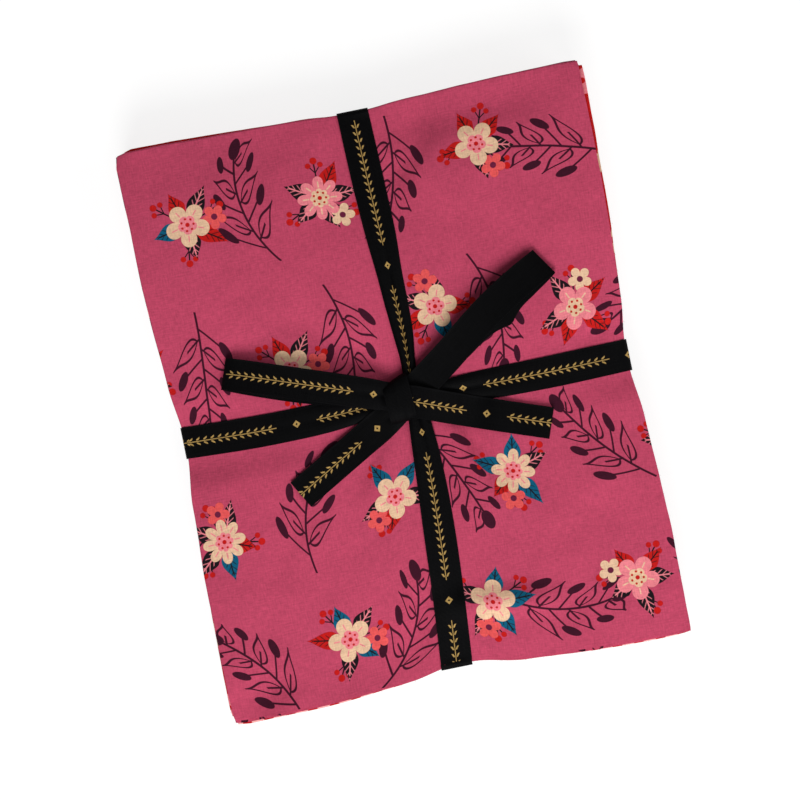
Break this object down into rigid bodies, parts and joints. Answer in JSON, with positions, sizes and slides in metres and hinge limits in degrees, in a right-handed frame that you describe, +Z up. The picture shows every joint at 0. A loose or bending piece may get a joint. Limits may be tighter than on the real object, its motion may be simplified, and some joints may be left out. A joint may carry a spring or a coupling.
{
  "type": "fat quarter bundle",
  "caption": "Bundle of folded quilting cotton fat quarters in a neat pile, tied both ways with a woven ribbon and a bow.",
  "frame": {"origin": "on the resting surface, under the middle of the bundle's box", "axes": "+X along the short side, from the side fold to the raw edge; +Y along the long side, towards the second fold; +Z up"},
  "size_m": [0.2336, 0.2846, 0.0509],
  "materials": {
    "cloth_ink": "matt plain weave cotton",
    "cloth_teal": "matt plain weave cotton",
    "cloth_cream": "matt plain weave cotton",
    "cloth_crimson": "matt plain weave cotton",
    "cloth_pink": "matt plain weave cotton",
    "cloth_wine": "matt plain weave cotton",
    "cloth_rose": "matt plain weave cotton",
    "cloth_orange": "matt plain weave cotton",
    "cloth_red": "matt plain weave cotton",
    "ribbon_black": "matt woven ribbon"
  },
  "bodies": {
    "root": {"fat_quarter_01": "cloth_ink", "fat_quarter_02": "cloth_teal", "fat_quarter_03": "cloth_cream", "fat_quarter_04": "cloth_crimson", "fat_quarter_05": "cloth_pink", "fat_quarter_06": "cloth_wine", "fat_quarter_07": "cloth_teal", "fat_quarter_08": "cloth_cream", "fat_quarter_09": "cloth_rose", "fat_quarter_10": "cloth_ink", "fat_quarter_11": "cloth_orange", "fat_quarter_12": "cloth_teal", "fat_quarter_13": "cloth_pink", "fat_quarter_14": "cloth_wine", "fat_quarter_15": "cloth_red", "fat_quarter_16": "cloth_rose", "ribbon": "ribbon_black"}
  },
  "joints": []
}
